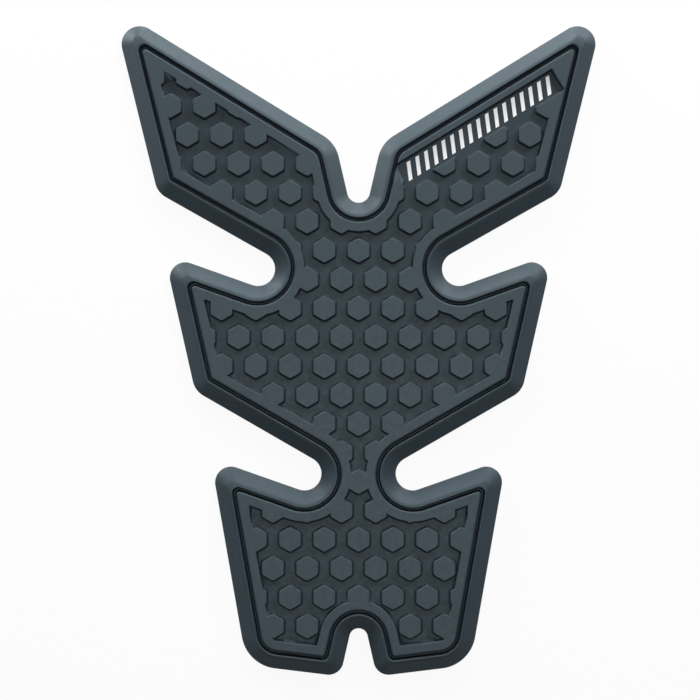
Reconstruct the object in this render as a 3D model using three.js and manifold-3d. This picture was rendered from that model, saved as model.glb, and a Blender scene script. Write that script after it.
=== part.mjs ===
// Motorcycle tank pad: one moulded rubber plate that is bonded to the tank by its flat back.
// A broad bevelled rim runs round a sunk groove, and inside the groove stands a raised panel with a
// pocket full of hexagonal studs. The right wing has a straight sunk strip along its upper edge.
//
// Millimetres, +Z up. The back lies on z = 0, the wings point to +Y, and the origin is the middle of
// the rectangle round the back.

import * as THREE from 'three';
import { mergeGeometries, mergeVertices } from 'three/addons/utils/BufferGeometryUtils.js';
import Module from 'manifold-3d';

const wasm = await Module();
wasm.setup();

// Overall size: tail to wing tips, and wing tip to wing tip
const LENGTH = 205;
const SPAN = 149.8;

// Heights above the back
const LIP_HEIGHT = 0.7;
const BEVEL_HEIGHT = 3.45;
const CREST_HEIGHT = 3.9;
const PANEL_HEIGHT = 3.9;
const POCKET_FLOOR = 2.6;
const GROOVE_FLOOR = 2.2;

// Widths of the border, from the outline inward
const BEVEL_WIDTH = 3.8;
const CREST_WIDTH = 1.3;
const GROOVE_WIDTH = 1.5;
const BAND_WIDTH = 2.75;

// A wall leans outward by this much for each millimetre that it drops, so the mould lets go
const DRAFT = 0.15;

// Smallest round on an outward corner, at the crest, the panel's edge and the pocket's edge
const CREST_CORNER = 2.1;
const PANEL_CORNER = 0.9;
const POCKET_CORNER = 0.3;

// Hexagonal studs: across the flats, and the pitch of columns and rows
const STUD_ACROSS = 6.74;
const STUD_PITCH_X = 10.74;
const STUD_PITCH_Y = 9.06;
const STUD_MIDDLE_Y = -4.9;

// Sunk strip on the right wing: where it starts along the wing's upper edge, and its distance inward
const STRIP_START = -5.2;
const STRIP_LENGTH = 58;
const STRIP_INSET = 8.4;
const STRIP_WIDTH = 7.85;

// Rounds of the outline, right-hand half. x and y are the middle of the round.
const TOP_NOTCH = { y: 50.35, radius: 3.63 };
const SHOULDER = { x: 16.75, y: 58.7, radius: 10.8 };
const WING_TIP = { radius: 5.75 };
const WING_HEEL = { x: 57.5, y: 54.5, radius: 6.95 };
const UPPER_NOTCH = { x: 31.8, y: 25.8, radius: 5.4 };
const ARM_TIP = { x: 54.75, y: 23, radius: 4.9 };
const ARM_HEEL = { x: 45.5, y: -8.2, radius: 7.05 };
const LOWER_NOTCH = { x: 17.1, y: -38.9, radius: 5.35 };
const LEG_TIP = { x: 40.35, y: -41.7, radius: 5 };
const LEG_HEEL = { x: 25, y: -88.5, radius: 12.05 };
const TAIL_TOE = { x: 9.5, radius: 4.8 };
const TAIL_NOTCH = { y: -90.7, radius: 2.9 };

// Turn between two points of a round, and how far a cutting solid stands clear of what it cuts
const ARC_STEP = THREE.MathUtils.degToRad(12);
const CLEAR = 1;

// Distances inward from the outline
const GROOVE_OUTER = BEVEL_WIDTH + CREST_WIDTH;
const PANEL_EDGE = GROOVE_OUTER + GROOVE_WIDTH;
const POCKET_EDGE = PANEL_EDGE + BAND_WIDTH;

// A round of the outline: its middle, its radius, and whether it bends out of the pad or into it
function round(x, y, radius, bend) {
  return { middle: new THREE.Vector2(x, y), radius, bend };
}

// The rounds in clockwise order, seen from above: down the right-hand side and back up the left
function outlineRounds() {
  const right = [
    round(SHOULDER.x, SHOULDER.y, SHOULDER.radius, 1),
    round(SPAN / 2 - WING_TIP.radius, LENGTH / 2 - WING_TIP.radius, WING_TIP.radius, 1),
    round(WING_HEEL.x, WING_HEEL.y, WING_HEEL.radius, 1),
    round(UPPER_NOTCH.x, UPPER_NOTCH.y, UPPER_NOTCH.radius, -1),
    round(ARM_TIP.x, ARM_TIP.y, ARM_TIP.radius, 1),
    round(ARM_HEEL.x, ARM_HEEL.y, ARM_HEEL.radius, 1),
    round(LOWER_NOTCH.x, LOWER_NOTCH.y, LOWER_NOTCH.radius, -1),
    round(LEG_TIP.x, LEG_TIP.y, LEG_TIP.radius, 1),
    round(LEG_HEEL.x, LEG_HEEL.y, LEG_HEEL.radius, 1),
    round(TAIL_TOE.x, TAIL_TOE.radius - LENGTH / 2, TAIL_TOE.radius, 1),
  ];
  const left = right.map(({ middle, radius, bend }) => round(-middle.x, middle.y, radius, bend));
  return [
    round(0, TOP_NOTCH.y, TOP_NOTCH.radius, -1),
    ...right,
    round(0, TAIL_NOTCH.y, TAIL_NOTCH.radius, -1),
    ...left.reverse(),
  ];
}

// Direction out of the pad, square to the straight edge that runs from one round to the next
function edgeNormal(from, to) {
  const along = to.middle.clone().sub(from.middle);
  const slant = (from.bend * from.radius - to.bend * to.radius) / along.length();
  along.normalize();
  const left = new THREE.Vector2(-along.y, along.x);
  return along.multiplyScalar(slant).addScaledVector(left, Math.sqrt(1 - slant * slant));
}

// The outline moved inward. Every inset has the same number of points, so insets can be joined up.
function inset(distance, smallestRound = 0) {
  const rounds = outlineRounds();
  const points = [];
  rounds.forEach((here, i) => {
    const before = edgeNormal(rounds.at(i - 1), here);
    const after = edgeNormal(here, rounds[(i + 1) % rounds.length]);
    const reach = here.radius - here.bend * distance;
    const radius = here.bend > 0 ? Math.max(reach, smallestRound) : reach;
    const shift = (reach - radius) / (1 + before.dot(after));
    const middle = here.middle.clone().addScaledVector(before, shift).addScaledVector(after, shift);
    const turn = Math.atan2(before.cross(after), before.dot(after));
    const steps = Math.ceil(Math.abs(turn) / ARC_STEP);
    for (let k = 0; k <= steps; k += 1) {
      const angle = before.angle() + (turn * k) / steps;
      const spoke = new THREE.Vector2(Math.cos(angle), Math.sin(angle));
      points.push(middle.clone().addScaledVector(spoke, here.bend * radius));
    }
  });
  return points.reverse();
}

// Closed body through a stack of outlines with equal point counts, each at its own height
function loft(rings) {
  const count = rings[0].outline.length;
  const position = rings.flatMap(({ outline, height }) => outline.flatMap(({ x, y }) => [x, y, height]));
  const index = [];
  for (let ring = 0; ring + 1 < rings.length; ring += 1) {
    for (let k = 0; k < count; k += 1) {
      const next = (k + 1) % count;
      const low = ring * count;
      const high = low + count;
      index.push(low + k, low + next, high + next, low + k, high + next, high + k);
    }
  }
  const top = (rings.length - 1) * count;
  for (const [a, b, c] of THREE.ShapeUtils.triangulateShape(rings[0].outline, [])) {
    index.push(c, b, a);
  }
  for (const [a, b, c] of THREE.ShapeUtils.triangulateShape(rings.at(-1).outline, [])) {
    index.push(top + a, top + b, top + c);
  }
  const geometry = new THREE.BufferGeometry();
  geometry.setAttribute('position', new THREE.Float32BufferAttribute(position, 3));
  geometry.setIndex(index);
  return geometry;
}

// Solid for joining and cutting, from a closed geometry
function toSolid(geometry) {
  geometry.deleteAttribute('normal');
  geometry.deleteAttribute('uv');
  const merged = mergeVertices(geometry);
  return new wasm.Manifold(new wasm.Mesh({
    numProp: 3,
    vertProperties: merged.attributes.position.array,
    triVerts: new Uint32Array(merged.index.array),
  }));
}

// Geometry to show, from a solid
function toGeometry(solid) {
  const { vertProperties, triVerts } = solid.getMesh();
  const geometry = new THREE.BufferGeometry();
  geometry.setAttribute('position', new THREE.BufferAttribute(vertProperties, 3));
  geometry.setIndex(new THREE.BufferAttribute(triVerts, 1));
  geometry.computeVertexNormals();
  return geometry;
}

// Upright prism on the pocket's floor, open above the panel
function prism(outline) {
  const depth = PANEL_HEIGHT - POCKET_FLOOR + CLEAR;
  const geometry = new THREE.ExtrudeGeometry(new THREE.Shape(outline), { depth, bevelEnabled: false });
  geometry.translate(0, 0, POCKET_FLOOR);
  return toSolid(geometry);
}

// Plate with its rim and groove, and the panel still solid
function blank() {
  const drop = DRAFT * (CREST_HEIGHT - GROOVE_FLOOR);
  const rise = DRAFT * (PANEL_HEIGHT - GROOVE_FLOOR);
  const outer = inset(0);
  return toSolid(loft([
    { outline: outer, height: 0 },
    { outline: outer, height: LIP_HEIGHT },
    { outline: inset(BEVEL_WIDTH, CREST_CORNER), height: BEVEL_HEIGHT },
    { outline: inset(BEVEL_WIDTH + CREST_WIDTH / 2, CREST_CORNER), height: CREST_HEIGHT },
    { outline: inset(GROOVE_OUTER, CREST_CORNER), height: CREST_HEIGHT },
    { outline: inset(GROOVE_OUTER + drop, CREST_CORNER), height: GROOVE_FLOOR },
    { outline: inset(PANEL_EDGE - rise, PANEL_CORNER), height: GROOVE_FLOOR },
    { outline: inset(PANEL_EDGE, PANEL_CORNER), height: PANEL_HEIGHT },
  ]));
}

// All the studs of the lattice as one set of solids, their points towards the wings and the tail.
// They start below the pocket's floor and end above the panel, and have their size at its height.
function studs() {
  const bottom = POCKET_FLOOR - CLEAR;
  const height = PANEL_HEIGHT + CLEAR - bottom;
  const toCorner = 1 / Math.cos(Math.PI / 6);
  const topRadius = (STUD_ACROSS / 2 - DRAFT * CLEAR) * toCorner;
  const bottomRadius = topRadius + DRAFT * height * toCorner;
  const rows = Math.ceil(LENGTH / 2 / STUD_PITCH_Y) + 1;
  const columns = Math.ceil(SPAN / 2 / STUD_PITCH_X) + 1;
  const copies = [];
  for (let row = -rows; row <= rows; row += 1) {
    const halfStep = (Math.abs(row) % 2) / 2;
    for (let column = -columns; column <= columns; column += 1) {
      const stud = new THREE.CylinderGeometry(topRadius, bottomRadius, height, 6);
      stud.rotateX(Math.PI / 2);
      stud.translate(
        (column + halfStep) * STUD_PITCH_X,
        STUD_MIDDLE_Y + row * STUD_PITCH_Y,
        bottom + height / 2,
      );
      copies.push(stud);
    }
  }
  return toSolid(mergeGeometries(copies));
}

// Straight sunk strip, set off the upper edge of the right wing and kept inside the groove
function strip() {
  const [, shoulder, wingTip] = outlineRounds();
  const outward = edgeNormal(shoulder, wingTip);
  const along = new THREE.Vector2(outward.y, -outward.x);
  const middle = shoulder.middle.clone()
    .addScaledVector(outward, shoulder.radius - STRIP_INSET - STRIP_WIDTH / 2)
    .addScaledVector(along, STRIP_START + STRIP_LENGTH / 2);
  const height = PANEL_HEIGHT - POCKET_FLOOR + CLEAR;
  const geometry = new THREE.BoxGeometry(STRIP_LENGTH, STRIP_WIDTH, height);
  geometry.rotateZ(along.angle());
  geometry.translate(middle.x, middle.y, POCKET_FLOOR + height / 2);
  return toSolid(geometry).intersect(prism(inset(GROOVE_OUTER + GROOVE_WIDTH / 2, PANEL_CORNER)));
}

const pocket = prism(inset(POCKET_EDGE, POCKET_CORNER)).subtract(studs());
const padSolid = blank().subtract(pocket.add(strip()));

const rubber = new THREE.MeshStandardMaterial({ color: 0x465159, roughness: 0.62, metalness: 0 });

const pad = new THREE.Mesh(toGeometry(padSolid), rubber);
pad.name = 'tank_pad';

const part = new THREE.Group();
part.add(pad);

export default part;
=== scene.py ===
"""Looks of a moulded rubber tank pad: the fine surface, its rubber, a pale floor and soft light.

The pad is one mesh. Its rim is a stack of rings that follow the outline from the back, over the crest,
to the middle of the groove. The rest is a height over the plane, found from the distance to the panel's
edge and to the edges of what is sunk into the panel. Lengths are in metres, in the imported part's frame.
"""

import math

import bmesh
import bpy
import numpy as np
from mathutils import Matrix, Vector
from mathutils.bvhtree import BVHTree
from mathutils.geometry import delaunay_2d_cdt


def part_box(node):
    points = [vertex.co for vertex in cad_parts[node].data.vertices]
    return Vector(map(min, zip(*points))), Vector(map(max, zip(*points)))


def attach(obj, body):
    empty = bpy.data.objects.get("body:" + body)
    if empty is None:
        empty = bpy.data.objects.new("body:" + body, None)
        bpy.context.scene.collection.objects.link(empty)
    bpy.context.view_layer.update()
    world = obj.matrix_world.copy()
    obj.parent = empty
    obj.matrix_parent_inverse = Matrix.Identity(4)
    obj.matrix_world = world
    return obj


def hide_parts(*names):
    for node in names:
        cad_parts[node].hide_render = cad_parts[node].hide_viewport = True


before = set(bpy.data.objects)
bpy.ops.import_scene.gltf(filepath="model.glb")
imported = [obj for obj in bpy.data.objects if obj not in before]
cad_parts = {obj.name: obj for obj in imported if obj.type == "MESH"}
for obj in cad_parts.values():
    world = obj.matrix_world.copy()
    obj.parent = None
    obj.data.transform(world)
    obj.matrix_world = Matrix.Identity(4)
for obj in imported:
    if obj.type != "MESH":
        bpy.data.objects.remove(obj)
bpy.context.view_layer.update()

MM = 0.001
PAD = "tank_pad"
PAD_LOW, PAD_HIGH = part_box(PAD)
SPAN = PAD_HIGH.x - PAD_LOW.x
LENGTH = PAD_HIGH.y - PAD_LOW.y
TOP = PAD_HIGH.z

# Heights above the back
LIP_HEIGHT = 0.7 * MM
BEVEL_HEIGHT = 3.45 * MM
POCKET_FLOOR = 2.6 * MM
GROOVE_FLOOR = 2 * MM

# Places and widths on the border, from the outline inward. The bevel climbs to BEVEL_HEIGHT over its
# width, and bends over into the crest a little farther in.
BEVEL_WIDTH = 3.8 * MM
CREST_BEND = 4.2 * MM
GROOVE_OUTER = 5 * MM
GROOVE_WIDTH = 1.45 * MM
GROOVE_MIDDLE = 5.68 * MM
PANEL_EDGE = GROOVE_OUTER + GROOVE_WIDTH
BAND_WIDTH = 2.9 * MM
POCKET_EDGE = PANEL_EDGE + BAND_WIDTH

# A wall leans by this much for each unit that it drops: the groove's outer one, the panel's, and those
# of the pocket and its studs
GROOVE_DRAFT = 0.25
PANEL_DRAFT = 0.3
POCKET_DRAFT = 0.3

# Smallest round on an outward corner, seen from above: at the crest, the panel's edge and the pocket's
CREST_CORNER = 2.1 * MM
PANEL_CORNER = 0.9 * MM
POCKET_CORNER = 0.3 * MM

# Hexagonal studs: across the flats, the pitch of columns and rows, and the round of a corner
STUD_ACROSS = 6.74 * MM
STUD_PITCH_X = 10.74 * MM
STUD_PITCH_Y = 9.06 * MM
STUD_MIDDLE_Y = -4.9 * MM
STUD_CORNER = 0.9 * MM
STUD_SIDES = 6
STUD_CORNER_POINTS = 4

# Sunk strip on the right wing: where it starts along the wing's upper edge, and how far in
STRIP_START = -5.2 * MM
STRIP_LENGTH = 58 * MM
STRIP_INSET = 8.4 * MM
STRIP_WIDTH = 7.85 * MM

# Rounds of the outline's right-hand half, in millimetres: middle x, middle y, radius, and 1 where the
# round bends out of the pad or -1 where it bends in. The wing tip and the tail toe are worked out
# from the overall size.
TOP_NOTCH = (0, 50.35, 3.63, -1)
SHOULDER = (16.75, 58.7, 10.8, 1)
WING_TIP_RADIUS = 5.75 * MM
WING_HEEL = (57.5, 54.5, 6.95, 1)
UPPER_NOTCH = (31.8, 25.8, 5.4, -1)
ARM_TIP = (54.75, 23, 4.9, 1)
ARM_HEEL = (45.5, -8.2, 7.05, 1)
LOWER_NOTCH = (17.1, -38.9, 5.35, -1)
LEG_TIP = (40.35, -41.7, 5, 1)
LEG_HEEL = (25, -88.5, 12.05, 1)
TAIL_TOE_X = 9.5 * MM
TAIL_TOE_RADIUS = 4.8 * MM
TAIL_NOTCH = (0, -90.7, 2.9, -1)

# Rounds across an edge or in the foot of a wall
BACK_ROUND = 0.12 * MM
LIP_ROUND = 0.5 * MM
CREST_ROUND = 2.2 * MM
GROOVE_ROUND = 0.15 * MM
PANEL_ROUND = 0.6 * MM
EDGE_ROUND = 0.18 * MM
GROOVE_FOOT = 0.12 * MM
POCKET_FOOT = 0.5 * MM

# Slanted bars printed on the strip's floor
BAR_COUNT = 17
BAR_PITCH = 3.2 * MM
BAR_WIDTH = 1.3 * MM
BAR_HEIGHT = 5.4 * MM
BAR_SLANT = math.radians(24)

# Largest turn between two points of a round: seen from above, across an edge, and where an offset
# line opens at a corner
PLAN_STEP = math.radians(4)
EDGE_STEP = math.radians(20)
JOIN_STEP = math.radians(25)

# Fineness of the mesh
SUPPORT = 0.06 * MM  # from the end of a round to the point that keeps the flat beside it flat
FLAT_ROUNDS = 3  # length of a section's flat ends, for each unit of the round beside them
BACK_ROUNDS = 5  # width of the ring on the back, for each unit of its round
MERGE = 0.004 * MM  # points nearer than this become one
LOOP_MERGE = MERGE / 10
RIM_CLEAR = 2 * MERGE
SHORTEST = 0.05 * MM  # shortest edge of a line round what is sunk
SHARPEST = 0.15  # keeps the corner of an offset line from shooting out
STRIP_POINTS = 80  # along each long side of the strip
GRID = 1.6 * MM  # between the points on the flats
GRID_TO_PANEL = GRID / 2
GRID_TO_SUNK = GRID / 3
WALL_REACH = 1  # up and down, of the upright walls that distances are measured to

# Ways in which delaunay_2d_cdt chooses its triangles
ALL_TRIANGLES = 0
TRIANGLES_INSIDE = 1

# The camera hangs over the pad and looks straight down
CAMERA_DISTANCE = 360 * MM
CAMERA_X = -2.7 * MM
CAMERA_Y = 0.16 * MM
FRAME_WIDTH = 221.1 * MM
SENSOR = 36  # in millimetres, as the lens is
CLIP_START = 10 * MM

# Light: three low lamps beyond the wings, a broad one overhead, and an even sky. Each lamp has its
# elevation and its swing to the right of the pad's axis, in degrees, its distance, and how bright it
# makes a white surface that lies flat.
LAMPS = {
    "left_lamp": (10, -45, 0.7, 0.155),
    "far_lamp": (10, 0, 0.7, 0.118),
    "right_lamp": (20, 38, 0.7, 0.26),
    "top_lamp": (85, 180, 1.1, 0.42),
}
LAMP_WIDTH = 0.36  # for each unit of its distance
SKY_LEVEL = 0.02
WHITE = (1, 1, 1, 1)

# Floor: how far it reaches from the middle, how far it lies below the back, and how much of what the
# camera sees of it is plain white instead of shaded
FLOOR_REACH = 3.0
FLOOR_DROP = 0.05 * MM
FLOOR_LIFT = 0.9
FLOOR_COLOUR = (0.9, 0.9, 0.9)
FLOOR_ROUGHNESS = 0.9

# Rubber in its own colour and in a darker colour painted for shade in its hollows, and its faint mottling
RUBBER_COLOUR = (0.036, 0.0505, 0.0635)
# painted shade: the colour the rubber is darkened to in the groove, the pocket and on the studs' walls
PAINTED_SHADE_COLOUR = (0.0052, 0.0082, 0.013)
MOTTLING = 0.06
RUBBER_ROUGHNESS = (0.5, 0.6)
GLOSS = 0.36
GLOSS_TINT = (0.78, 0.97, 1.0)
GRAIN_DEPTH = 0.012 * MM

# White ink, and the share of its white that is left where it is worn
INK_COLOUR = (0.9, 0.9, 0.9)
INK_WORN = 0.96
INK_ROUGHNESS = (0.4, 0.5)
INK_GRAIN_DEPTH = 0.008 * MM

# Fineness of the noises: a feature is about one metre over this number across
MOTTLE_FINENESS = 45
GLOSS_FINENESS = 700
WEAR_FINENESS = 900
GRAIN_FINENESS = 3200
NOISE_RANGE = (0.3, 0.7)  # where most of a noise's values lie

# How light the painted shade leaves the rubber, as pairs of a height and an amount: 1 is its own colour,
# 0 the painted shade colour. In the pocket and on the walls of its studs, the floor is half shaded, the
# walls most, and the top edges get a painted highlight above one.
GROOVE_PAINTED_SHADE = ((GROOVE_FLOOR, 0), (POCKET_FLOOR, 0.25), (TOP - 0.2 * MM, 1), (TOP, 1))
POCKET_PAINTED_SHADE_AND_HIGHLIGHT = (
    (POCKET_FLOOR, 0.54),
    (POCKET_FLOOR + 0.2 * MM, 0.2),
    (TOP - 0.3 * MM, 0.2),
    (TOP - 0.12 * MM, 1.2),
    (TOP - 0.03 * MM, 1.4),
    (TOP, 1),
)


def turned(vector):
    """The plane vector turned a quarter to the left."""
    return np.array([-vector[1], vector[0]])


def turn_between(before, after):
    """Angle from one plane vector to the other, to the left."""
    return math.atan2(before[0] * after[1] - before[1] * after[0], before @ after)


def arc(middle, start, radius, turn, steps):
    """Points of an arc that starts in the direction given, with a negative radius on its far side."""
    angles = math.atan2(start[1], start[0]) + turn * np.arange(steps + 1) / steps
    return middle + radius * np.column_stack([np.cos(angles), np.sin(angles)])


def outline_rounds():
    """Middle, radius and bend of each round, clockwise from the top notch."""
    tip = (SPAN / 2 - WING_TIP_RADIUS, LENGTH / 2 - WING_TIP_RADIUS, WING_TIP_RADIUS, 1)
    toe = (TAIL_TOE_X, TAIL_TOE_RADIUS - LENGTH / 2, TAIL_TOE_RADIUS, 1)

    def scaled(place):
        x, y, radius, bend = place
        return (x * MM, y * MM, radius * MM, bend)

    middle_part = (WING_HEEL, UPPER_NOTCH, ARM_TIP, ARM_HEEL, LOWER_NOTCH, LEG_TIP, LEG_HEEL)
    right = [scaled(SHOULDER), tip, *map(scaled, middle_part), toe]
    left = [(-x, y, radius, bend) for x, y, radius, bend in reversed(right)]
    return [scaled(TOP_NOTCH), *right, scaled(TAIL_NOTCH), *left]


def edge_normal(start, end):
    """Direction out of the pad, square to the straight edge from one round to the next."""
    along = np.array(end[:2]) - np.array(start[:2])
    distance = np.hypot(*along)
    slant = (start[3] * start[2] - end[3] * end[2]) / distance
    along = along / distance
    return along * slant + turned(along) * math.sqrt(1 - slant * slant)


def inset(distance, smallest_round):
    """Points of the outline moved inward. Every inset has the same number of points."""
    rounds = outline_rounds()
    points = []
    for i, here in enumerate(rounds):
        x, y, radius, bend = here
        before = edge_normal(rounds[i - 1], here)
        after = edge_normal(here, rounds[(i + 1) % len(rounds)])
        reach = radius - bend * distance
        kept = max(reach, smallest_round) if bend > 0 else reach
        shift = (reach - kept) / (1 + before @ after)
        middle = np.array([x, y]) + (before + after) * shift
        turn = turn_between(before, after)
        points.append(arc(middle, before, bend * kept, turn, math.ceil(abs(turn) / PLAN_STEP)))
    return np.concatenate(points)[::-1]


def rounded(path):
    """A line of (across, height, radius) corners with an arc at each, as an array of points.

    A point just before and just after each arc keeps the straights shaded flat."""
    corners = [np.array(corner[:2]) for corner in path]
    points = [corners[0]]
    for i in range(1, len(path) - 1):
        back = corners[i - 1] - corners[i]
        ahead = corners[i + 1] - corners[i]
        back /= np.hypot(*back)
        ahead /= np.hypot(*ahead)
        between = math.acos(np.clip(back @ ahead, -1, 1))
        radius = path[i][2]
        reach = radius / math.tan(between / 2)
        bisector = (back + ahead) / np.hypot(*(back + ahead))
        middle = corners[i] + bisector * radius / math.sin(between / 2)
        first = corners[i] + back * reach - middle
        last = corners[i] + ahead * reach - middle
        turn = turn_between(first, last)
        steps = max(2, math.ceil(abs(turn) / EDGE_STEP))
        points.append(corners[i] + back * (reach + SUPPORT))
        for k in range(steps + 1):
            angle = turn * k / steps
            points.append(middle + (first * math.cos(angle) + turned(first) * math.sin(angle)))
        points.append(corners[i] + ahead * (reach + SUPPORT))
    points.append(corners[-1])
    return np.array(points)


# Sections of the panel's outer wall and of the walls of what is sunk: distance past the edge, and height
PANEL_SECTION = rounded([
    (-FLAT_ROUNDS * PANEL_ROUND, TOP, 0),
    (0, TOP, PANEL_ROUND),
    (PANEL_DRAFT * (TOP - GROOVE_FLOOR), GROOVE_FLOOR, GROOVE_FOOT),
    (GROOVE_WIDTH, GROOVE_FLOOR, 0),
])
SUNK_SECTION = rounded([
    (-FLAT_ROUNDS * EDGE_ROUND, TOP, 0),
    (0, TOP, EDGE_ROUND),
    (POCKET_DRAFT * (TOP - POCKET_FLOOR), POCKET_FLOOR, POCKET_FOOT),
    (FLAT_ROUNDS * POCKET_FOOT, POCKET_FLOOR, 0),
])


def rim_rings():
    """Rings from the back's edge over the rim to the middle of the groove's floor, and how far in
    each lies."""
    slope = (BEVEL_HEIGHT - LIP_HEIGHT) / BEVEL_WIDTH
    path = rounded([
        (BACK_ROUNDS * BACK_ROUND, 0, 0),
        (0, 0, BACK_ROUND),
        (0, LIP_HEIGHT, LIP_ROUND),
        (CREST_BEND, LIP_HEIGHT + slope * CREST_BEND, CREST_ROUND),
        (GROOVE_OUTER, TOP, GROOVE_ROUND),
        (GROOVE_OUTER + GROOVE_DRAFT * (TOP - GROOVE_FLOOR), GROOVE_FLOOR, GROOVE_FOOT),
        (GROOVE_MIDDLE, GROOVE_FLOOR, 0),
    ])
    rings = []
    for across, height in path:
        corner = np.interp(across, [GROOVE_OUTER, PANEL_EDGE], [CREST_CORNER, PANEL_CORNER])
        outline = inset(across, corner)
        rings.append(np.column_stack([outline, np.full(len(outline), height)]))
    return rings, path[:, 0]


def hexagon(x, y):
    """Plan of one stud at the panel's height, with small rounds at its six points."""
    half_angle = math.pi / STUD_SIDES
    middle_to_round = (STUD_ACROSS / 2 - STUD_CORNER) / math.cos(half_angle)
    points = []
    for k in range(STUD_SIDES):
        spoke = math.pi / 2 + k * 2 * math.pi / STUD_SIDES
        for turn in np.linspace(-half_angle, half_angle, STUD_CORNER_POINTS):
            points.append((
                x + middle_to_round * math.cos(spoke) + STUD_CORNER * math.cos(spoke + turn),
                y + middle_to_round * math.sin(spoke) + STUD_CORNER * math.sin(spoke + turn),
            ))
    return np.array(points)


def stud_plans():
    """Plans of all the studs of the lattice."""
    rows = math.ceil(LENGTH / 2 / STUD_PITCH_Y)
    columns = math.ceil(SPAN / 2 / STUD_PITCH_X)
    plans = []
    for row in range(-rows, rows + 1):
        half_step = (abs(row) % 2) / 2
        for column in range(-columns, columns + 1):
            x = (column + half_step) * STUD_PITCH_X
            plans.append(hexagon(x, STUD_MIDDLE_Y + row * STUD_PITCH_Y))
    return plans


def strip_frame():
    """Middle of the sunk strip, the direction along it, and the direction out of the pad."""
    shoulder, tip = outline_rounds()[1:3]
    outward = edge_normal(shoulder, tip)
    along = -turned(outward)
    x, y, radius, _ = shoulder
    out = radius - STRIP_INSET - STRIP_WIDTH / 2
    middle = np.array([x, y]) + outward * out + along * (STRIP_START + STRIP_LENGTH / 2)
    return middle, along, outward


def strip_plan():
    """Rectangle of the sunk strip, with points all along its two long sides."""
    middle, along, outward = strip_frame()
    half = np.linspace(-STRIP_LENGTH / 2, STRIP_LENGTH / 2, STRIP_POINTS)
    side = outward * STRIP_WIDTH / 2
    return np.array([*(middle - side + along * a for a in half),
                     *(middle + side + along * a for a in half[::-1])])


def inside(points, loops):
    """Whether each point lies inside an odd number of the loops."""
    odd = np.zeros(len(points), bool)
    for loop in loops:
        start, end = loop, np.roll(loop, -1, axis=0)
        for (ax, ay), (bx, by) in zip(start, end):
            if ay == by:
                continue
            crosses = (points[:, 1] < ay) != (points[:, 1] < by)
            odd ^= crosses & (points[:, 0] < ax + (points[:, 1] - ay) * (bx - ax) / (by - ay))
    return odd


def walls_on(loops):
    """Upright walls on the edges of the loops, ready for finding the nearest."""
    corners = []
    walls = []
    for loop in loops:
        first = len(corners)
        for x, y in loop:
            corners += [(x, y, -WALL_REACH), (x, y, WALL_REACH)]
        for k in range(len(loop)):
            here, ahead = first + 2 * k, first + 2 * ((k + 1) % len(loop))
            walls.append((here, ahead, ahead + 1, here + 1))
    return BVHTree.FromPolygons(corners, walls)


def distance_to(walls, points):
    """Distance from each point to the nearest wall."""
    nearest = [walls.find_nearest((x, y, 0)) for x, y in points]
    return np.array([distance for _, _, _, distance in nearest])


def triangulated(points, edges, loops, chosen, merge):
    """Delaunay triangles that keep the edges and the loops: their points, the corners of each triangle,
    the given points that each point stands for, and the loops that each triangle lies in."""
    given = [Vector(point) for point in points]
    plan, _, triangles, sources, _, owners = delaunay_2d_cdt(given, edges, loops, chosen, merge, True)
    return np.array([point[:] for point in plan]), triangles, sources, owners


def overlaid(loops):
    """Triangles of all the loops laid over each other: points, corners, and the loops round each."""
    numbers = []
    for loop in loops:
        first = sum(map(len, numbers))
        numbers.append(list(range(first, first + len(loop))))
    points = np.concatenate(loops)
    plan, triangles, _, owners = triangulated(points, [], numbers, TRIANGLES_INSIDE, LOOP_MERGE)
    return plan, triangles, owners


def sunk_edges(triangles, owners):
    """Edges round all the triangles in the strip, or in the pocket but in no stud. Each point where one
    starts has a list of the points where it ends."""
    pocket, strip = 0, 1  # their numbers among the loops
    edges = {}
    for (a, b, c), owner in zip(triangles, owners):
        if strip in owner or tuple(owner) == (pocket,):
            for edge in ((a, b), (b, c), (c, a)):
                if edges.pop(edge[::-1], None) is None:
                    edges[edge] = True
    ahead = {}
    for start, end in edges:
        ahead.setdefault(start, []).append(end)
    return ahead


def sunk_loops(pocket, strip, studs):
    """Closed lines round what is sunk into the panel: the pocket round its studs, and the strip."""
    points, triangles, owners = overlaid([pocket, strip, *studs])
    ahead = sunk_edges(triangles, owners)
    found = []
    while ahead:
        start = next(iter(ahead))
        loop = [start]
        while True:
            ends = ahead[loop[-1]]
            step = ends.pop()
            if not ends:
                del ahead[loop[-1]]
            if step == start:
                break
            loop.append(step)
        found.append(tidy_loop(points[loop]))
    return [loop for loop in found if len(loop) > 2]


def tidy_loop(loop):
    """The loop without points that lie too close to the one before."""
    kept = [loop[0]]
    for point in loop[1:]:
        if np.hypot(*(point - kept[-1])) > SHORTEST:
            kept.append(point)
    if np.hypot(*(kept[0] - kept[-1])) < SHORTEST:
        kept.pop()
    return np.array(kept)


def moved(loop, distance):
    """The loop moved sideways, away from what lies on its left, with a round join where it opens."""
    points = []
    for k, corner in enumerate(loop):
        back = corner - loop[k - 1]
        ahead = loop[(k + 1) % len(loop)] - corner
        before = -turned(back) / np.hypot(*back)
        after = -turned(ahead) / np.hypot(*ahead)
        turn = turn_between(before, after)
        if turn * distance > 0 and abs(turn) > JOIN_STEP:
            points += list(arc(corner, before, distance, turn, math.ceil(abs(turn) / JOIN_STEP)))
        else:
            points.append(corner + (before + after) * distance / max(1 + before @ after, SHARPEST))
    return np.array(points)


def bar_plans():
    """Slanted bars in a row along the sunk strip."""
    middle, along, outward = strip_frame()
    lean = BAR_HEIGHT * math.tan(BAR_SLANT)
    plans = []
    for k in range(BAR_COUNT):
        base = middle + along * (k - (BAR_COUNT - 1) / 2) * BAR_PITCH
        corners = ((-1, -1), (1, -1), (1, 1), (-1, 1))
        plans.append(np.array([
            base + along * (a * BAR_WIDTH + b * lean) / 2 + outward * b * BAR_HEIGHT / 2
            for a, b in corners
        ]))
    return plans


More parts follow.
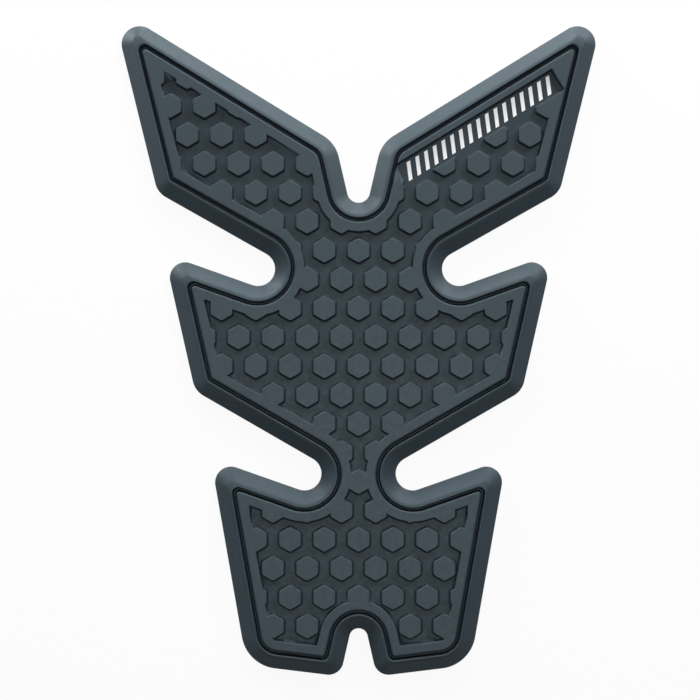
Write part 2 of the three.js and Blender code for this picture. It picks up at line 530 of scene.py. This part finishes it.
def flat_points(panel_walls, sunk_walls):
    """A grid of points on the flats, clear of the edges, which keeps their triangles short."""
    across, along = math.ceil(SPAN / 2 / GRID), math.ceil(LENGTH / 2 / GRID)
    grid = np.array([(x * GRID, y * GRID) for x in range(-across, across) for y in range(-along, along)])
    grid = grid[inside(grid, [inset(PANEL_EDGE, PANEL_CORNER)])]
    clear_of_panel = distance_to(panel_walls, grid) > GRID_TO_PANEL
    clear_of_sunk = distance_to(sunk_walls, grid) > GRID_TO_SUNK
    return grid[clear_of_panel & clear_of_sunk]


def contour_lines(panel, sunk, sunk_walls):
    """Lines along every point of the two sections, without what comes too near another edge."""
    lines = [moved(panel, step) for step in PANEL_SECTION[1:-1, 0]] + bar_plans()
    for loop in sunk:
        for step in SUNK_SECTION[1:-1, 0]:
            line = moved(loop, -step)
            lines.append(line[distance_to(sunk_walls, line) > abs(step) - MERGE])
    return lines


def plan_of(rim, flats, lines):
    """Triangles over everything inside the rim: points, the corners of each triangle, and the number of
    each point, which is the rim's own for a point that lies on the rim, and follows them for others."""
    reach = inset(GROOVE_MIDDLE + RIM_CLEAR, PANEL_CORNER)
    points = [*rim, *flats]
    edges = []
    for line in lines:
        kept = inside(line, [reach])
        number = len(points) + np.cumsum(kept) - 1
        points += list(line[kept])
        both = kept & np.roll(kept, -1)
        edges += np.column_stack([number, np.roll(number, -1)])[both].tolist()
    whole_rim = list(range(len(rim)))
    plan, triangles, sources, owners = triangulated(points, edges, [whole_rim], ALL_TRIANGLES, MERGE)
    within = np.array([corners for corners, owner in zip(triangles, owners) if owner])
    numbers = np.arange(len(plan)) + len(rim)
    for k, given in enumerate(sources):
        if given and min(given) < len(rim):
            numbers[k] = min(given)
    return plan, within, numbers


def painted_light_share(heights, amounts):
    """How light the painted shade leaves the rubber at each height."""
    return np.interp(heights, *zip(*amounts))


def inner_surface(rim):
    """Everything inside the middle of the groove: points, how light the painted shade leaves each,
    triangles that count the rim's points before these, and which triangles are printed."""
    panel = inset(PANEL_EDGE, PANEL_CORNER)
    sunk = sunk_loops(inset(POCKET_EDGE, POCKET_CORNER), strip_plan(), stud_plans())
    panel_walls, sunk_walls = walls_on([panel]), walls_on(sunk)
    flats = flat_points(panel_walls, sunk_walls)
    plan, triangles, numbers = plan_of(rim, flats, contour_lines(panel, sunk, sunk_walls))
    past_panel = distance_to(panel_walls, plan) * np.where(inside(plan, [panel]), -1, 1)
    past_edge = distance_to(sunk_walls, plan) * np.where(inside(plan, sunk), 1, -1)
    panel_height = np.interp(past_panel, *PANEL_SECTION.T)
    sunk_height = np.interp(past_edge, *SUNK_SECTION.T)
    # painted shade in the groove, the pocket and on the studs' walls, and a painted highlight on their
    # top edges
    light_share = np.minimum(painted_light_share(panel_height, GROOVE_PAINTED_SHADE), painted_light_share(sunk_height, POCKET_PAINTED_SHADE_AND_HIGHLIGHT))
    printed = inside(plan[triangles].mean(axis=1), bar_plans())
    points = np.column_stack([plan, np.minimum(panel_height, sunk_height)])
    return points, light_share, numbers[triangles], printed


def rim_faces(rings, count):
    """The back as one face, and the faces between the rings."""
    faces = [tuple(range(count))[::-1]]
    for ring in range(rings - 1):
        low, high = ring * count, (ring + 1) * count
        for k in range(count):
            ahead = (k + 1) % count
            faces.append((low + k, low + ahead, high + ahead, high + k))
    return faces


def drop_loose_points(mesh):
    """Take out the points that no face uses."""
    shape = bmesh.new()
    shape.from_mesh(mesh)
    bmesh.ops.delete(shape, geom=[v for v in shape.verts if not v.link_faces], context="VERTS")
    shape.to_mesh(mesh)
    shape.free()


def pad_mesh():
    """The whole pad as one closed mesh, with how light the painted shade leaves each point. Printed faces
    have the second material."""
    rings, insets = rim_rings()
    count = len(rings[0])
    outer = rim_faces(len(rings), count)
    inner, inner_light_share, triangles, printed = inner_surface(rings[-1][:, :2])
    faces = outer + (triangles + count * (len(rings) - 1)).tolist()
    mesh = bpy.data.meshes.new("pad_rubber_body")
    mesh.from_pydata(np.concatenate([*rings, inner]).tolist(), [], faces)
    mesh.shade_smooth()
    slots = np.concatenate([np.zeros(len(outer), np.int32), printed.astype(np.int32)])
    mesh.polygons.foreach_set("material_index", slots)
    # painted shade in the groove past the crest; the bevel keeps the rubber's own colour
    light_share = [painted_light_share(ring[:, 2], GROOVE_PAINTED_SHADE) if across > CREST_BEND else np.ones(count)
           for ring, across in zip(rings, insets)]
    # point attribute of painted shade and painted highlight, read by the rubber's colour
    attribute = mesh.attributes.new("painted_light_share", "FLOAT", "POINT")
    attribute.data.foreach_set("value", np.concatenate([*light_share, inner_light_share]).astype(np.float32))
    drop_loose_points(mesh)
    return mesh


def new_material(name):
    """A node material and its shader."""
    material = bpy.data.materials.new(name)
    material.use_nodes = True
    return material, material.node_tree, material.node_tree.nodes["Principled BSDF"]


def noise(tree, fineness, detail=2.0):
    """Value of a noise fixed to the object."""
    place = tree.nodes.new("ShaderNodeTexCoord")
    texture = tree.nodes.new("ShaderNodeTexNoise")
    texture.inputs["Scale"].default_value = fineness
    texture.inputs["Detail"].default_value = detail
    tree.links.new(place.outputs["Object"], texture.inputs["Vector"])
    return texture.outputs["Fac"]


def spread(tree, value, low, high):
    """A noise's value stretched to run from low to high."""
    ramp = tree.nodes.new("ShaderNodeMapRange")
    ramp.inputs["From Min"].default_value = NOISE_RANGE[0]
    ramp.inputs["From Max"].default_value = NOISE_RANGE[1]
    ramp.inputs["To Min"].default_value = low
    ramp.inputs["To Max"].default_value = high
    tree.links.new(value, ramp.inputs["Value"])
    return ramp.outputs["Result"]


def shade_and_wear_blend(tree, value, dark, light):
    """A colour between dark and light, by the value, and lighter still where the value is over one: the
    rubber's painted shade and painted highlight, and the ink's wear.
    """
    mix = tree.nodes.new("ShaderNodeMix")
    mix.data_type = "RGBA"
    mix.inputs["A"].default_value = (*dark, 1)
    mix.inputs["B"].default_value = (*light, 1)
    mix.clamp_factor = False
    tree.links.new(value, mix.inputs["Factor"])
    return mix.outputs["Result"]


def grain(tree, shader, depth):
    """Bump of a fine noise."""
    bump = tree.nodes.new("ShaderNodeBump")
    bump.inputs["Distance"].default_value = depth
    tree.links.new(noise(tree, GRAIN_FINENESS, detail=3), bump.inputs["Height"])
    tree.links.new(bump.outputs["Normal"], shader.inputs["Normal"])


def rubber():
    """Dull moulded rubber with a fine grain and faint mottling, with painted shade in its hollows and on
    the studs' walls, and a painted highlight on their top edges.
    """
    material, tree, shader = new_material("moulded_rubber")
    # reads how light the painted shade leaves each point
    light_share = tree.nodes.new("ShaderNodeAttribute")
    light_share.attribute_name = "painted_light_share"
    colours = []
    # each mottled copy runs from the painted shade colour to the rubber's own colour, and past it as a
    # painted highlight
    for share in (1 - MOTTLING, 1 + MOTTLING):
        dark = [share * c for c in PAINTED_SHADE_COLOUR]
        light = [share * c for c in RUBBER_COLOUR]
        colours.append(shade_and_wear_blend(tree, light_share.outputs["Fac"], dark, light))
    mix = tree.nodes.new("ShaderNodeMix")
    mix.data_type = "RGBA"
    mottle = spread(tree, noise(tree, MOTTLE_FINENESS, detail=4), 0, 1)
    tree.links.new(mottle, mix.inputs["Factor"])
    tree.links.new(colours[0], mix.inputs["A"])
    tree.links.new(colours[1], mix.inputs["B"])
    tree.links.new(mix.outputs["Result"], shader.inputs["Base Color"])
    roughness = spread(tree, noise(tree, GLOSS_FINENESS), *RUBBER_ROUGHNESS)
    tree.links.new(roughness, shader.inputs["Roughness"])
    shader.inputs["Specular IOR Level"].default_value = GLOSS
    shader.inputs["Specular Tint"].default_value = (*GLOSS_TINT, 1)
    grain(tree, shader, GRAIN_DEPTH)
    return material


def white_print():
    """Thin white ink, a little uneven over the rubber's grain."""
    material, tree, shader = new_material("white_ink")
    worn = [INK_WORN * c for c in INK_COLOUR]
    wear = spread(tree, noise(tree, WEAR_FINENESS), 0, 1)
    tree.links.new(shade_and_wear_blend(tree, wear, worn, INK_COLOUR), shader.inputs["Base Color"])
    roughness = spread(tree, noise(tree, GLOSS_FINENESS), *INK_ROUGHNESS)
    tree.links.new(roughness, shader.inputs["Roughness"])
    grain(tree, shader, INK_GRAIN_DEPTH)
    return material


def pale_floor():
    """White floor that shows the pad's shadow faintly to the camera."""
    material, tree, shader = new_material("pale_floor")
    shader.inputs["Base Color"].default_value = (*FLOOR_COLOUR, 1)
    shader.inputs["Roughness"].default_value = FLOOR_ROUGHNESS
    shader.inputs["Specular IOR Level"].default_value = 0
    path = tree.nodes.new("ShaderNodeLightPath")
    lift = tree.nodes.new("ShaderNodeMath")
    lift.operation = "MULTIPLY"
    lift.inputs[1].default_value = FLOOR_LIFT
    glow = tree.nodes.new("ShaderNodeEmission")
    mix = tree.nodes.new("ShaderNodeMixShader")
    tree.links.new(path.outputs["Is Camera Ray"], lift.inputs[0])
    tree.links.new(lift.outputs[0], mix.inputs["Fac"])
    tree.links.new(shader.outputs[0], mix.inputs[1])
    tree.links.new(glow.outputs[0], mix.inputs[2])
    tree.links.new(mix.outputs[0], tree.nodes["Material Output"].inputs["Surface"])
    return material


def add(name, data):
    """A new object in the scene."""
    thing = bpy.data.objects.new(name, data)
    bpy.context.scene.collection.objects.link(thing)
    return thing


def make_floor():
    """Square floor just below the pad's back."""
    corners = [(-1, -1), (1, -1), (1, 1), (-1, 1)]
    mesh = bpy.data.meshes.new("floor")
    mesh.from_pydata([(x * FLOOR_REACH, y * FLOOR_REACH, -FLOOR_DROP) for x, y in corners], [],
                     [(0, 1, 2, 3)])
    mesh.materials.append(pale_floor())
    add("floor", mesh)


def make_lamp(name, elevation, swing, distance, level):
    """Round lamp that the camera doesn't see, aimed at the middle of the pad."""
    elevation, swing = math.radians(elevation), math.radians(swing)
    lamp = bpy.data.lights.new(name, "AREA")
    lamp.shape = "DISK"
    lamp.size = LAMP_WIDTH * distance
    lamp.energy = level * math.pi ** 2 * distance ** 2 / math.sin(elevation)
    flat = math.cos(elevation)
    toward = Vector((math.sin(swing) * flat, math.cos(swing) * flat, math.sin(elevation)))
    lamp = add(name, lamp)
    lamp.visible_camera = False
    lamp.location = toward * distance
    lamp.rotation_euler = toward.to_track_quat("Z", "Y").to_euler()


def make_lights():
    """The lamps, and a dim even sky that the camera sees as white."""
    for name, setting in LAMPS.items():
        make_lamp(name, *setting)
    world = bpy.data.worlds.new("sky")
    world.use_nodes = True
    tree = world.node_tree
    sky = tree.nodes["Background"]
    sky.inputs["Strength"].default_value = SKY_LEVEL
    sky.inputs["Color"].default_value = WHITE
    backdrop = tree.nodes.new("ShaderNodeBackground")
    backdrop.inputs["Color"].default_value = WHITE
    path = tree.nodes.new("ShaderNodeLightPath")
    mix = tree.nodes.new("ShaderNodeMixShader")
    tree.links.new(path.outputs["Is Camera Ray"], mix.inputs["Fac"])
    tree.links.new(sky.outputs[0], mix.inputs[1])
    tree.links.new(backdrop.outputs[0], mix.inputs[2])
    tree.links.new(mix.outputs[0], tree.nodes["World Output"].inputs["Surface"])
    bpy.context.scene.world = world


def make_camera():
    """Camera straight above. The frame is FRAME_WIDTH wide at the height of the lip."""
    lens = bpy.data.cameras.new("camera")
    lens.sensor_width = SENSOR
    lens.lens = SENSOR * CAMERA_DISTANCE / FRAME_WIDTH
    lens.clip_start = CLIP_START
    camera = add("camera", lens)
    camera.location = (CAMERA_X, CAMERA_Y, LIP_HEIGHT + CAMERA_DISTANCE)
    bpy.context.scene.camera = camera


def make_pad():
    """The pad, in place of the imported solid."""
    mesh = pad_mesh()
    mesh.materials.append(rubber())
    mesh.materials.append(white_print())
    pad = add("pad_rubber_body", mesh)
    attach(pad, "root")
    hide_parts(PAD)


make_camera()
make_lights()
make_floor()
make_pad()
bpy.context.scene.view_settings.view_transform = "Standard"
